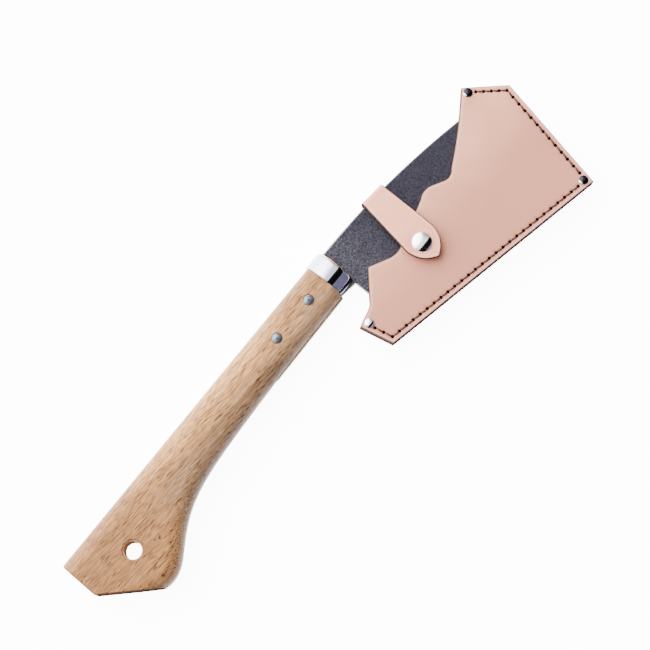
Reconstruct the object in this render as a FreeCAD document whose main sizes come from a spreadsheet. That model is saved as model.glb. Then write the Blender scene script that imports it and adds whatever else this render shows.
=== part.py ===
"""Carving hatchet in a leather sheath with a snap strap.

Millimetres. The origin lies on the axis of the lanyard bore, at half the thickness of the handle.
+X runs along the handle to the head, +Y to the spine of the blade, +Z to the side with the snap.
"""
import FreeCAD
import Part
import Sketcher
import math
import os
import re

from FreeCAD import Placement, Rotation, Vector

# alias, value or formula, meaning
DIMENSIONS = [
    # blade: one plate with its tang
    ("blade_thick", 5.0, "thickness of the plate"),
    ("neck_high_x", 199.5, "spine at the ferrule"),
    ("neck_high_y", 25.2, ""),
    ("shoulder_x", 199.5, "tang below the spine shoulder"),
    ("shoulder_y", 21.5, ""),
    ("tang_high_x", 131.5, "rear end of the tang, spine side"),
    ("tang_high_y", 18.5, ""),
    ("tang_low_x", 131.5, "rear end of the tang, edge side"),
    ("tang_low_y", 8.5, ""),
    ("neck_low_x", 200.4, "inner heel corner"),
    ("neck_low_y", -0.4, ""),
    ("heel_x", 200.4, "heel end of the cutting edge"),
    ("heel_y", -32.8, ""),
    ("toe_x", 329.2, "toe end of the cutting edge"),
    ("toe_y", -60.7, ""),
    ("nose_x", 338.2, "top of the front side"),
    ("nose_y", -0.6, ""),
    ("spine_end_x", 331.0, "front end of the spine"),
    ("spine_end_y", 10.0, ""),
    ("spine_radius", 560.0, "curve of the spine"),
    ("bevel_width", 24.0, "width of the ground bevel"),
    ("hone_width", 1.8, "width of the honed facet"),
    ("hone_half", 0.55, "half thickness where the honed facet starts"),
    ("edge_half", 0.1, "half thickness at the edge"),
    ("spine_chamfer", 0.8, "broken edges of the spine"),
    # handle
    ("handle_half", 10.9, "half thickness of the handle"),
    ("grip_round", 9.8, "rounding of the grip"),
    ("back_butt", 25.8, "back of the handle at the butt end"),
    ("back_collar", 26.6, "back of the handle at the ferrule"),
    ("butt_top_x", -32.2, "butt end face, spine side"),
    ("butt_corner_x", -33.1, "butt end face, lower corner"),
    ("butt_corner_y", 0.5, ""),
    ("butt_foot_x", 1.9, "slanted butt face, far end below the belly"),
    ("butt_foot_y", -34.8, ""),
    ("butt_chamfer", 0.6, "slim broken edge round the butt faces"),
    ("bore_radius", 5.2, "lanyard bore"),
    ("bore_chamfer", 1.1, "chamfer of the lanyard bore"),
    ("fit_gap", 0.05, "clearance of the fitted pieces"),
    # tang slot and the strip that closes it
    ("slot_end_x", 127.5, "rear end of the slot"),
    ("key_rear_y", -1.5, "outer face of the strip at its rear end"),
    ("key_front_y", -0.5, "outer face of the strip at the ferrule"),
    ("key_round", 0.6, "rounding of its outer edges"),
    # ferrule
    ("ferrule_rear", 189.0, "rear rim of the ferrule"),
    ("ferrule_length", 11.6, "length of the ferrule"),
    ("ferrule_y", 14.4, "centre of its oval"),
    ("ferrule_depth", 13.5, "half depth at its crown"),
    ("ferrule_half", 11.0, "half thickness at its crown"),
    ("ferrule_wall", 1.2, "wall of the sleeve"),
    # handle pins
    ("pin_front_x", 174.1, "front pin"),
    ("pin_rear_x", 145.3, "rear pin"),
    ("pin_y", 13.5, "both pins"),
    ("pin_radius", 2.5, "shank"),
    ("pin_head_radius", 3.35, "head"),
    ("pin_seat", 9.6, "height of the head's seat above the middle"),
    ("pin_rim", 10.35, "height of the head's rim"),
    ("pin_top", 11.2, "top of the domed head"),
    ("pin_dimple", 0.4, "radius and depth of the centre dimple"),
    ("pin_dome_radius", 12.0, "curve of the head's dome"),
    # sheath
    ("leather", 2.2, "thickness of the leather"),
    ("blade_gap", 0.25, "play between blade and panels"),
    ("welt_width", 6.3, "width of the welt"),
    ("top_corner_x", 329.8, "corner of the top rivet"),
    ("top_corner_y", 24.5, ""),
    ("front_corner_x", 349.1, "corner between the top and front sides"),
    ("front_corner_y", 3.6, ""),
    ("toe_corner_x", 334.5, "corner of the toe rivet"),
    ("toe_corner_y", -70.7, ""),
    ("heel_corner_x", 186.0, "corner between the edge and heel sides"),
    ("heel_corner_y", -40.0, ""),
    ("mouth_corner_x", 181.4, "corner of the heel rivet"),
    ("mouth_corner_y", -18.8, ""),
    ("lip_x", 191.5, "short lip beside the heel rivet"),
    ("lip_y", -16.3, ""),
    ("rise_x", 197.0, "foot of the rise to the peak"),
    ("rise_y", -13.3, ""),
    ("lip_radius", 12.0, ""),
    ("peak_x", 211.6, "peak of the mouth beside the neck"),
    ("peak_y", -0.2, ""),
    ("dip_start_x", 222.0, "dip of the mouth under the strap"),
    ("dip_start_y", -5.6, ""),
    ("dip_end_x", 233.5, ""),
    ("dip_end_y", -7.3, ""),
    ("dip_radius", 14.0, ""),
    ("bump_start_x", 262.0, "bump of the mouth past the strap"),
    ("bump_start_y", 1.0, ""),
    ("bump_end_x", 273.5, ""),
    ("bump_end_y", 1.0, ""),
    ("bump_radius", 11.0, ""),
    ("hollow_start_x", 278.8, "small hollow of the mouth"),
    ("hollow_start_y", -2.0, ""),
    ("hollow_end_x", 288.0, ""),
    ("hollow_end_y", -1.2, ""),
    ("hollow_radius", 7.0, ""),
    ("flank_radius", 320.0, "long hollow flank up to the top corner"),
    # corner rivets
    ("rivet_heel_x", 186.4, ""),
    ("rivet_heel_y", -21.8, ""),
    ("rivet_toe_x", 331.2, ""),
    ("rivet_toe_y", -65.6, ""),
    ("rivet_top_x", 329.8, ""),
    ("rivet_top_y", 19.6, ""),
    ("rivet_head_radius", 2.75, "caps and rear heads"),
    ("rivet_shank_radius", 1.5, "hollow shank of the post"),
    ("rivet_pin_radius", 0.8, "pin of the cap"),
    ("rivet_rim", 0.5, "height of the cap's rim"),
    ("rivet_dome", 1.3, "height of the cap's dome"),
    ("rivet_dome_radius", 5.1, "curve of the cap's dome"),
    ("rivet_foot_edge", 0.4, "bevelled edge of the rear head"),
    ("crown", 0.3, "small flat on top of a dome"),
    # seam threads
    ("thread_width", 0.8, "thread and its holes"),
    ("thread_height", 0.45, "thread above the leather"),
    ("thread_top_x", 333.2, "front thread beside the top rivet"),
    ("thread_top_y", 16.3, ""),
    ("thread_front_x", 345.5, "front thread at the front corner"),
    ("thread_front_y", 2.6, ""),
    ("thread_toe_x", 333.2, "front thread beside the toe rivet"),
    ("thread_toe_y", -61.3, ""),
    ("thread_edge_x", 326.4, "edge thread beside the toe rivet"),
    ("thread_edge_y", -65.5, ""),
    ("thread_heel_x", 188.8, "edge thread at the heel corner"),
    ("thread_heel_y", -37.1, ""),
    ("thread_mouth_x", 186.4, "edge thread beside the heel rivet"),
    ("thread_mouth_y", -26.0, ""),
    # strap: its frame stands on the spine, y pointing out of the blade
    ("strap_x", 246.7, "middle of the strap on the spine"),
    ("strap_y", 23.3, ""),
    ("strap_tilt", -5.2, "turn of the strap's frame about Z, in degrees"),
    ("strap_half", 8.4, "half width at the spine"),
    ("strap_wide", 10.4, "from the strap's middle to its widest point, towards the toe"),
    ("strap_wide_rear", 11.3, "the same towards the handle"),
    ("strap_wide_y", -34.0, "where the strap is widest"),
    ("strap_tip_y", -52.2, "tip of the flap"),
    ("strap_tip_radius", 17.0, "curve of the pointed tip"),
    ("strap_level_y", -31.0, "where the flap turns level"),
    ("strap_root", 40.0, "overlap of the strap's root with the back panel"),
    ("fold_gap", 0.15, "gap between the strap's rigid lengths at a fold"),
    ("snap_x", -1.1, "place of the snap across the strap"),
    ("snap_y", -39.5, "place of the snap along the strap"),
    ("snap_gap", 3.0, "space between panel and flap at the snap"),
    # snap
    ("cap_radius", 5.75, "domed cap"),
    ("cap_rim", 0.5, ""),
    ("cap_dome", 1.8, ""),
    ("cap_dome_radius", 13.4, ""),
    ("cap_shank", 1.4, "shank of the cap"),
    ("socket_radius", 5.0, "socket under the flap"),
    ("socket_plate", 0.3, "sheet metal of the socket"),
    ("socket_mouth", 3.2, "radius of the socket's mouth"),
    ("socket_lift", 0.65, "space between the socket and the panel"),
    ("groove_top", 0.9, "top of the spring's groove, below the flap"),
    ("groove_low", 1.95, "bottom of the spring's groove, below the flap"),
    ("spring_seat", 4.2, "radius of the groove for the spring"),
    ("spring_ring", 3.6, "mean radius of the spring"),
    ("spring_wire", 0.35, "radius of the spring wire"),
    ("spring_turn", 325.0, "degrees of the circle that the spring goes round"),
    ("stud_flange", 4.2, "flange of the stud"),
    ("stud_neck", 2.3, "neck of the stud"),
    ("stud_head", 2.9, "head of the stud"),
    ("stud_sheet", 0.4, "thickness of the stud's flange"),
    ("stud_root", 0.6, "foot of the neck above the panel"),
    ("stud_waist", 1.3, "top of the neck above the panel"),
    ("stud_widest", 1.8, "widest place of the head above the panel"),
    ("stud_top", 2.4, "top of the head above the panel"),
    ("stud_bore", 1.0, "bore of the stud"),
    ("post_flange", 4.0, "flange of the post inside the sheath"),
    ("post_sheet", 0.4, "thickness of that flange"),
    ("post_shank", 0.95, "hollow shank of the post"),
    ("post_bore", 0.6, ""),
    # levels that follow from the sizes above
    ("panel_low", "=blade_thick / 2 + blade_gap", "inner face of the front panel"),
    ("panel_high", "=panel_low + leather", "outer face of the front panel"),
    ("flap_low", "=panel_high + snap_gap", "level underside of the flap"),
    ("flap_high", "=flap_low + leather", "level top of the flap"),
    ("fold_y", "=blade_gap + leather / 2", "both fold axes, out of the spine"),
    ("fold_low_z", "=-panel_low - leather / 2", "lower fold axis"),
    ("fold_high_z", "=panel_low + 0.05 + leather / 2", "upper fold axis"),
    ("fold_clear", "=leather / 2 + fold_gap", "clearance round a fold axis"),
    ("ferrule_front", "=ferrule_rear + ferrule_length", "front face of the ferrule"),
    ("cavity_front", "=ferrule_front - ferrule_wall", "bottom of the ferrule's cavity"),
]

# Belly of the handle stock, from beyond the butt to the ferrule
BELLY = [
    (-42.0, -8.0), (-26.0, -18.0), (-12.0, -25.0), (-5.0, -27.8), (2.0, -28.7), (9.0, -27.2), (18.0, -22.2),
    (30.0, -14.9), (42.0, -9.7), (56.0, -6.2), (74.0, -4.0), (100.0, -2.4), (145.0, -0.6), (188.9, 0.2),
]
RIVETS = ("heel", "toe", "top")

doc = FreeCAD.newDocument("carving_hatchet")
sheet = doc.addObject("Spreadsheet::Sheet", "Dimensions")
for row, (alias, content, meaning) in enumerate(DIMENSIONS, start=1):
    sheet.set(f"A{row}", meaning)
    sheet.set(f"B{row}", str(content))
    sheet.setAlias(f"B{row}", alias)
doc.recompute()

subparts = []


def qualified(expression):
    """The expression with every alias written as a cell of the sheet."""
    return re.sub(r"\b([a-z]\w*)", r"Dimensions.\1", expression)


def size(expression):
    """The number that an expression of the sheet's aliases gives."""
    return float(sheet.evalExpression(expression))


def bind(item, target, expression):
    item.setExpression(target, qualified(expression))


def add(kind, name, **sizes):
    """A document object with its sizes bound to the sheet."""
    item = doc.addObject(kind, name)
    for target, expression in sizes.items():
        bind(item, target, expression)
    return item


def place(item, x="0", y="0", z="0", rotation=None):
    """Bind an object's position to the sheet."""
    if rotation is not None:
        item.Placement = Placement(Vector(), rotation)
    for axis, expression in (("x", x), ("y", y), ("z", z)):
        bind(item, f"Placement.Base.{axis}", expression)


def finish(item, label):
    """Name a finished sub-part."""
    item.Label = label
    subparts.append(item)


def new_body(name):
    body = doc.addObject("PartDesign::Body", name)
    subparts.append(body)
    return body


def origin_plane(body, role):
    return next(item for item in body.Origin.OriginFeatures if item.Role == role)


def attach(body, name, plane="XY_Plane", level="0"):
    """A sketch on one of the body's origin planes, lifted to a level along the plane's normal."""
    sketch = body.newObject("Sketcher::SketchObject", name)
    sketch.AttachmentSupport = [(origin_plane(body, plane), "")]
    sketch.MapMode = "FlatFace"
    bind(sketch, "AttachmentOffset.Base.z", level)
    return sketch


def hold(sketch, curve, end, x, y):
    """Constrain an end of a curve to the place that two expressions give."""
    for kind, axis, expression in (("DistanceX", -2, x), ("DistanceY", -1, y)):
        if expression == "0":
            sketch.addConstraint(Sketcher.Constraint("PointOnObject", curve, end, axis))
            continue
        amount = size(expression)
        index = sketch.addConstraint(Sketcher.Constraint(kind, -1, 1, curve, end, amount))
        sketch.setExpression(f"Constraints[{index}]", qualified(expression))


def arc_between(start, end, radius):
    """The short arc from start to end: counter-clockwise for a positive radius."""
    chord = end - start
    side = Vector(-chord.y, chord.x, 0).normalize()
    lift = math.sqrt(radius * radius - chord.Length ** 2 / 4)
    centre = (start + end) * 0.5 + side * math.copysign(lift, radius)
    first, last = (start, end) if radius > 0 else (end, start)
    angles = [math.atan2(p.y - centre.y, p.x - centre.x) for p in (first, last)]
    return Part.ArcOfCircle(Part.Circle(centre, Vector(0, 0, 1), abs(radius)), angles[0], angles[1])


def draw(sketch, points):
    """A closed outline. A point is (x, y), or (x, y, radius) where an arc leaves it."""
    places = [Vector(size(point[0]), size(point[1]), 0) for point in points]
    first_curve = sketch.GeometryCount
    ends = []
    for index, point in enumerate(points):
        start = places[index]
        end = places[(index + 1) % len(points)]
        if len(point) == 2:
            curve = sketch.addGeometry(Part.LineSegment(start, end), False)
            ends.append((curve, 1, 2))
            continue
        radius = size(point[2])
        curve = sketch.addGeometry(arc_between(start, end, radius), False)
        ends.append((curve, 1, 2) if radius > 0 else (curve, 2, 1))
        index_radius = sketch.addConstraint(Sketcher.Constraint("Radius", curve, abs(radius)))
        sketch.setExpression(f"Constraints[{index_radius}]", qualified(point[2].lstrip("-")))
    for index, point in enumerate(points):
        curve, start_end, far_end = ends[index]
        following = ends[(index + 1) % len(points)]
        sketch.addConstraint(Sketcher.Constraint("Coincident", curve, far_end, following[0], following[1]))
        hold(sketch, curve, start_end, point[0], point[1])
    return first_curve


def circle(sketch, x, y, radius):
    """A circle round a point of the sheet."""
    shape = Part.Circle(Vector(size(x), size(y), 0), Vector(0, 0, 1), size(radius))
    curve = sketch.addGeometry(shape, False)
    index = sketch.addConstraint(Sketcher.Constraint("Radius", curve, size(radius)))
    sketch.setExpression(f"Constraints[{index}]", qualified(radius))
    hold(sketch, curve, 3, x, y)


def at(name):
    """The two aliases of a named point."""
    return (f"{name}_x", f"{name}_y")


def pad(body, sketch, length, midplane=False):
    feature = body.newObject("PartDesign::Pad", sketch.Name + "_pad")
    feature.Profile = sketch
    feature.Midplane = midplane
    bind(feature, "Length", length)
    return feature


def pocket_through(body, sketch):
    """Cut a sketch's outline right through the body, both ways, and make sure that it cuts."""
    doc.recompute()
    before = body.Shape.Volume
    feature = body.newObject("PartDesign::Pocket", sketch.Name + "_cut")
    feature.Profile = sketch
    feature.Type = "ThroughAll"
    feature.Midplane = True
    doc.recompute()
    if body.Shape.Volume > before - 1e-3:
        raise RuntimeError(f"{sketch.Name} cuts nothing")
    return feature


def revolve(body, name, points):
    """Turn a half profile, drawn as (radius, height), about the body's Z axis."""
    sketch = attach(body, name, "XZ_Plane")
    draw(sketch, points)
    feature = body.newObject("PartDesign::Revolution", name + "_turned")
    feature.Profile = sketch
    feature.ReferenceAxis = (sketch, ["V_Axis"])
    feature.Angle = 360
    return feature


def edges_where(shape, test):
    """Names of the edges whose middle point passes a test."""
    names = []
    for index, edge in enumerate(shape.Edges, start=1):
        middle = edge.valueAt((edge.FirstParameter + edge.LastParameter) / 2)
        if test(edge, middle):
            names.append(f"Edge{index}")
    return names


# ---------------------------------------------------------------- blade

def build_blade():
    """Plate with tang, ground on both faces towards the cutting edge."""
    body = new_body("blade")
    outline = attach(body, "blade_outline")
    corners = ["shoulder", "tang_high", "tang_low", "neck_low", "heel", "toe", "nose"]
    draw(outline, [at("neck_high")] + [at(name) for name in corners] + [(*at("spine_end"), "spine_radius")])
    plate = pad(body, outline, "blade_thick", midplane=True)
    doc.recompute()

    half = size("blade_thick") / 2

    def on_spine(edge, middle):
        return edge.Curve.TypeId == "Part::GeomCircle" and abs(abs(middle.z) - half) < 1e-3

    spine = body.newObject("PartDesign::Chamfer", "spine_edges")
    spine.Base = (plate, edges_where(plate.Shape, on_spine))
    bind(spine, "Size", "spine_chamfer")

    heel = Vector(size("heel_x"), size("heel_y"), 0)
    toe = Vector(size("toe_x"), size("toe_y"), 0)
    slope = math.atan2(toe.y - heel.y, toe.x - heel.x)
    edge_level = heel.y * math.cos(slope) - heel.x * math.sin(slope)
    grind = attach(body, "grind", "YZ_Plane")
    grind.AttachmentOffset = Placement(Vector(), Rotation(Vector(0, 1, 0), math.degrees(slope)))
    above = half + 1
    for sign in (1, -1):
        corners = [
            (edge_level + size("bevel_width"), half),
            (edge_level + size("hone_width"), size("hone_half")),
            (edge_level, size("edge_half")),
            (edge_level - 5, size("edge_half")),
            (edge_level - 5, above),
            (edge_level + size("bevel_width"), above),
        ]
        places = [Vector(x, sign * z, 0) for x, z in corners]
        for start, end in zip(places, places[1:] + places[:1]):
            grind.addGeometry(Part.LineSegment(start, end), False)
    pocket_through(body, grind)

    holes = attach(body, "tang_holes")
    for name in ("pin_front_x", "pin_rear_x"):
        circle(holes, name, "pin_y", "pin_radius + fit_gap")
    pocket_through(body, holes)


# ---------------------------------------------------------------- handle

def prism(name, points, length, level="0"):
    """A straight prism over an outline, from a level of Z or centred on it."""
    sketch = doc.addObject("Sketcher::SketchObject", name + "_outline")
    draw(sketch, points)
    solid = doc.addObject("Part::Extrusion", name)
    solid.Base = sketch
    solid.DirMode = "Custom"
    solid.Dir = Vector(0, 0, 1)
    solid.Solid = True
    solid.Symmetric = level == "0"
    bind(solid, "LengthFwd", length)
    if level != "0":
        bind(sketch, "Placement.Base.z", level)
    return solid


def upright_ellipse(name, x, y, half_depth, half_thick):
    """An ellipse across the handle: long axis on Y, short axis on Z."""
    ellipse = add("Part::Ellipse", name, MajorRadius=half_depth, MinorRadius=half_thick)
    across = Rotation(Vector(0, 1, 0), Vector(0, 0, 1), Vector(1, 0, 0))
    place(ellipse, x, y, "0", across)
    return ellipse


def build_handle_stock():
    """Grip and flared butt: a rounded plank with two sawn butt faces."""
    body = doc.addObject("PartDesign::Body", "handle_stock")
    outline = attach(body, "stock_outline")
    belly = Part.BSplineCurve()
    belly.interpolate([Vector(x, y, 0) for x, y in BELLY])
    rear, front = Vector(*BELLY[0], 0), Vector(*BELLY[-1], 0)
    back_rear = Vector(rear.x, size("back_butt"), 0)
    back_front = Vector(front.x, size("back_collar"), 0)
    outline.addGeometry(belly, False)
    for start, end in ((front, back_front), (back_front, back_rear), (back_rear, rear)):
        outline.addGeometry(Part.LineSegment(start, end), False)
    for curve in range(4):
        outline.addConstraint(Sketcher.Constraint("Coincident", curve, 2, (curve + 1) % 4, 1))
    hold(outline, 2, 1, "ferrule_rear - 0.1", "back_collar")
    plank = pad(body, outline, "handle_half * 2", midplane=True)
    doc.recompute()

    def lengthwise(edge, middle):
        return edge.BoundBox.XLength > 150 and edge.BoundBox.ZLength < 0.1

    rounded = body.newObject("PartDesign::Fillet", "grip_rounding")
    rounded.Base = (plank, edges_where(plank.Shape, lengthwise))
    bind(rounded, "Radius", "grip_round")

    sawn = attach(body, "butt_faces")
    draw(sawn, [
        ("butt_top_x", "back_butt + 4"), ("butt_top_x - 40", "back_butt + 4"),
        ("butt_top_x - 40", "butt_foot_y"), at("butt_foot"), at("butt_corner"),
    ])
    faces = pocket_through(body, sawn)
    corner = Vector(size("butt_corner_x"), size("butt_corner_y"), 0)
    foot = Vector(size("butt_foot_x"), size("butt_foot_y"), 0)
    top = Vector(size("butt_top_x"), size("back_butt") + 4, 0)

    def on_butt_face(edge, middle):
        flat = Vector(middle.x, middle.y, 0)
        apart = [flat.distanceToLine(corner, end - corner) for end in (foot, top)]
        return min(apart) < 0.02

    broken = body.newObject("PartDesign::Chamfer", "butt_edges")
    broken.Base = (faces, edges_where(faces.Shape, on_butt_face))
    bind(broken, "Size", "butt_chamfer")
    return body


def build_handle():
    """The stock with its tenon, lanyard bore, pin holes and the slot for the tang."""
    stock = build_handle_stock()
    face = upright_ellipse("tenon_section", "ferrule_rear - 1", "ferrule_y",
                           "ferrule_depth - ferrule_wall * 2 - fit_gap",
                           "ferrule_half - ferrule_wall * 2 - fit_gap")
    tenon = add("Part::Extrusion", "tenon", LengthFwd="ferrule_length - ferrule_wall + 1 - fit_gap")
    tenon.Base = face
    tenon.DirMode = "Custom"
    tenon.Dir = Vector(1, 0, 0)
    tenon.Solid = True
    with_tenon = doc.addObject("Part::Fuse", "handle_with_tenon")
    with_tenon.Base = stock
    with_tenon.Tool = tenon

    bore = add("Part::Cylinder", "lanyard_bore", Radius="bore_radius", Height="handle_half * 2 + 2")
    place(bore, z="-handle_half - 1")
    tools = [bore]
    for side, turn in (("high", 0), ("low", 180)):
        cone = add("Part::Cone", f"bore_chamfer_{side}", Radius1="bore_radius",
                   Radius2="bore_radius + bore_chamfer * 2", Height="bore_chamfer * 2")
        level = "handle_half - bore_chamfer" if turn == 0 else "-handle_half + bore_chamfer"
        place(cone, z=level, rotation=Rotation(Vector(1, 0, 0), turn))
        tools.append(cone)
    for name in ("front", "rear"):
        hole = add("Part::Cylinder", f"pin_hole_{name}", Radius="pin_radius + fit_gap",
                   Height="handle_half * 3")
        place(hole, f"pin_{name}_x", "pin_y", "-handle_half * 1.5")
        tools.append(hole)
        for side, level in (("high", "pin_seat"), ("low", "-pin_seat - 4")):
            seat = add("Part::Cylinder", f"pin_seat_{name}_{side}",
                       Radius="pin_head_radius + fit_gap", Height="4")
            place(seat, f"pin_{name}_x", "pin_y", level)
            tools.append(seat)
    tools.append(prism("tang_slot", [
        ("slot_end_x", "-8"), ("slot_end_x", "0.5"), ("tang_low_x - 0.3", "tang_low_y"),
        ("tang_high_x - 0.3", "tang_high_y + 0.2"), ("shoulder_x + 4", "shoulder_y + 0.4"),
        ("shoulder_x + 4", "-8"),
    ], "blade_thick + fit_gap * 2"))
    cutters = doc.addObject("Part::MultiFuse", "handle_cutters")
    cutters.Shapes = tools
    handle = doc.addObject("Part::Cut", "handle")
    handle.Base = with_tenon
    handle.Tool = cutters
    finish(handle, "handle")


def build_tang_key():
    """Strip that closes the slot below the tang, standing slightly proud of the belly."""
    body = new_body("tang_key")
    outline = attach(body, "key_outline")
    draw(outline, [
        ("slot_end_x + 0.1", "key_rear_y"), ("ferrule_rear - 0.2", "key_front_y"),
        ("ferrule_rear - 0.2", "0.9"), ("tang_low_x - 0.2", "tang_low_y - 0.4"),
        ("slot_end_x + 0.1", "0.4"),
    ])
    strip = pad(body, outline, "blade_thick", midplane=True)
    doc.recompute()

    def on_outer_face(edge, middle):
        lengthwise = edge.BoundBox.XLength > 50
        return lengthwise and middle.y < 0

    rounded = body.newObject("PartDesign::Fillet", "key_edges")
    rounded.Base = (strip, edges_where(strip.Shape, on_outer_face))
    bind(rounded, "Radius", "key_round")


def build_ferrule():
    """Barrel-shaped oval sleeve with a closed front, slotted for the blade from the belly side."""
    barrel = [("0", "0.5"), ("ferrule_length * 0.12", "0.18"), ("ferrule_length * 0.3", "0.02"),
              ("ferrule_length * 0.55", "0"), ("ferrule_length * 0.8", "0.1"),
              ("ferrule_length * 0.93", "0.32"), ("ferrule_length", "0.85")]
    rings = []
    for index, (along, inward) in enumerate(barrel):
        rings.append(upright_ellipse(f"ferrule_ring_{index}", f"ferrule_rear + {along}", "ferrule_y",
                                     f"ferrule_depth - {inward}", f"ferrule_half - {inward}"))
    skin = doc.addObject("Part::Loft", "ferrule_skin")
    skin.Sections = rings
    skin.Solid = True

    section = upright_ellipse("cavity_section", "ferrule_rear - 1", "ferrule_y",
                              "ferrule_depth - ferrule_wall * 2", "ferrule_half - ferrule_wall * 2")
    cavity = add("Part::Extrusion", "ferrule_cavity", LengthFwd="ferrule_length - ferrule_wall + 1")
    cavity.Base = section
    cavity.DirMode = "Custom"
    cavity.Dir = Vector(1, 0, 0)
    cavity.Solid = True

    width = "blade_thick + fit_gap * 4"
    below = "ferrule_y - ferrule_depth - 1"
    slot_side = "-blade_thick / 2 - fit_gap * 2"
    belly_slot = add("Part::Box", "ferrule_belly_slot", Length="ferrule_length + 2",
                     Width="tang_low_y - (ferrule_y - ferrule_depth - 1)", Height=width)
    place(belly_slot, "ferrule_rear - 1", below, slot_side)
    front_slot = add("Part::Box", "ferrule_front_slot", Length="ferrule_wall + 2",
                     Width="neck_high_y + fit_gap * 3 - (ferrule_y - ferrule_depth - 1)", Height=width)
    place(front_slot, "cavity_front", below, slot_side)
    cutters = doc.addObject("Part::MultiFuse", "ferrule_cutters")
    cutters.Shapes = [cavity, belly_slot, front_slot]
    ferrule = doc.addObject("Part::Cut", "ferrule")
    ferrule.Base = skin
    ferrule.Tool = cutters
    finish(ferrule, "ferrule")


def build_handle_pin(name):
    """Round pin with a domed head at each end and a small centre dimple."""
    body = new_body(f"handle_pin_{name}")
    rim = ("pin_head_radius", "pin_rim")
    draw_points = [
        ("0", "-pin_top + pin_dimple"), ("pin_dimple", "-pin_top", "pin_dome_radius"),
        (rim[0], "-pin_rim"), (rim[0], "-pin_seat"), ("pin_radius", "-pin_seat"),
        ("pin_radius", "pin_seat"), (rim[0], "pin_seat"), (*rim, "pin_dome_radius"),
        ("pin_dimple", "pin_top"), ("0", "pin_top - pin_dimple"),
    ]
    revolve(body, f"pin_profile_{name}", draw_points)
    place(body, f"pin_{name}_x", "pin_y")


# ---------------------------------------------------------------- sheath

SEAM_CORNERS = ["mouth_corner", "heel_corner", "toe_corner", "front_corner", "top_corner"]
THREADS = {
    "front": ["thread_top", "thread_front", "thread_toe"],
    "edge": ["thread_edge", "thread_heel", "thread_mouth"],
}


def panel_outline():
    """The panel's outline: four straight stitched sides, then the curved mouth."""
    sides = [at(name) for name in SEAM_CORNERS[:-1]]
    mouth = [
        (*at("top_corner"), "-flank_radius"), (*at("hollow_end"), "-hollow_radius"),
        at("hollow_start"), (*at("bump_end"), "bump_radius"), at("bump_start"),
        (*at("dip_end"), "-dip_radius"), at("dip_start"), at("peak"),
        (*at("rise"), "-lip_radius"), at("lip"),
    ]
    return sides + mouth


def seam_holes(body, name):
    """Holes for the three rivets and for the four ends of the two threads."""
    sketch = attach(body, name)
    for rivet in RIVETS:
        circle(sketch, *at(f"rivet_{rivet}"), "rivet_shank_radius + fit_gap")
    for route in THREADS.values():
        for end in (route[0], route[-1]):
            circle(sketch, *at(end), "thread_width / 2 + fit_gap")
    pocket_through(body, sketch)


def build_front_panel():
    """Outer panel with the stud's hole and the seat of its post in the inner face."""
    body = new_body("front_panel")
    outline = attach(body, "front_outline", level="panel_low")
    draw(outline, panel_outline())
    pad(body, outline, "leather")
    seam_holes(body, "front_holes")
    centre = snap_centre()
    for name, radius, height in (("stud_hole", "post_shank + fit_gap", "leather"),
                                 ("post_seat", "post_flange + fit_gap * 2", "post_sheet + fit_gap")):
        doc.recompute()
        before = body.Shape.Volume
        drill = body.newObject("PartDesign::SubtractiveCylinder", name)
        bind(drill, "Radius", radius)
        bind(drill, "Height", height)
        drill.AttachmentOffset = Placement(Vector(centre.x, centre.y, size("panel_low")), Rotation())
        drill.AttachmentSupport = [(origin_plane(body, "XY_Plane"), "")]
        drill.MapMode = "FlatFace"
        doc.recompute()
        if body.Shape.Volume > before - 1e-3:
            raise RuntimeError(f"{name} cuts nothing")


def build_back_panel():
    """Rear panel with the root of the strap reaching out to the spine."""
    body = new_body("back_panel")
    outline = attach(body, "back_outline", level="-panel_high")
    draw(outline, panel_outline())
    pad(body, outline, "leather")
    root = attach(body, "strap_root_outline", level="-panel_high")
    root.AttachmentOffset = Placement(Vector(size("strap_x"), size("strap_y"), -size("panel_high")),
                                      Rotation(Vector(0, 0, 1), size("strap_tilt")))
    draw(root, [
        ("-strap_half", "fold_y - fold_clear"), ("-strap_half", "-strap_root"),
        ("strap_half", "-strap_root"), ("strap_half", "fold_y - fold_clear"),
    ])
    pad(body, root, "leather")
    seam_holes(body, "back_holes")


def build_welt():
    """Strip between the panels, along the four stitched sides and open towards the mouth."""
    beyond_mouth = tuple(f"mouth_corner_{axis} * 4 - heel_corner_{axis} * 3" for axis in "xy")
    beyond_top = tuple(f"top_corner_{axis} * 4 - front_corner_{axis} * 3" for axis in "xy")
    seam = doc.addObject("Sketcher::SketchObject", "seam_line")
    draw(seam, [beyond_mouth, at("heel_corner"), at("toe_corner"), at("front_corner"), beyond_top])
    inner = add("Part::Offset2D", "welt_inner_line", Value="-welt_width")
    inner.Source = seam
    inner.Join = "Intersection"
    core = add("Part::Extrusion", "welt_core", LengthFwd="panel_low * 2 + 2")
    core.Base = inner
    core.DirMode = "Custom"
    core.Dir = Vector(0, 0, 1)
    core.Solid = True
    core.Symmetric = True
    holes = [core]
    for rivet in RIVETS:
        hole = add("Part::Cylinder", f"welt_hole_{rivet}", Radius="rivet_shank_radius + fit_gap",
                   Height="panel_high * 2")
        place(hole, f"rivet_{rivet}_x", f"rivet_{rivet}_y", "-panel_high")
        holes.append(hole)
    for route in THREADS.values():
        for end in (route[0], route[-1]):
            hole = add("Part::Cylinder", f"welt_hole_{end}", Radius="thread_width / 2 + fit_gap",
                       Height="panel_high * 2")
            place(hole, f"{end}_x", f"{end}_y", "-panel_high")
            holes.append(hole)
    cutters = doc.addObject("Part::MultiFuse", "welt_cutters")
    cutters.Shapes = holes
    welt = doc.addObject("Part::Cut", "welt")
    welt.Base = prism("sheath_plan", panel_outline(), "panel_low * 2")
    welt.Tool = cutters
    finish(welt, "welt")


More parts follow.
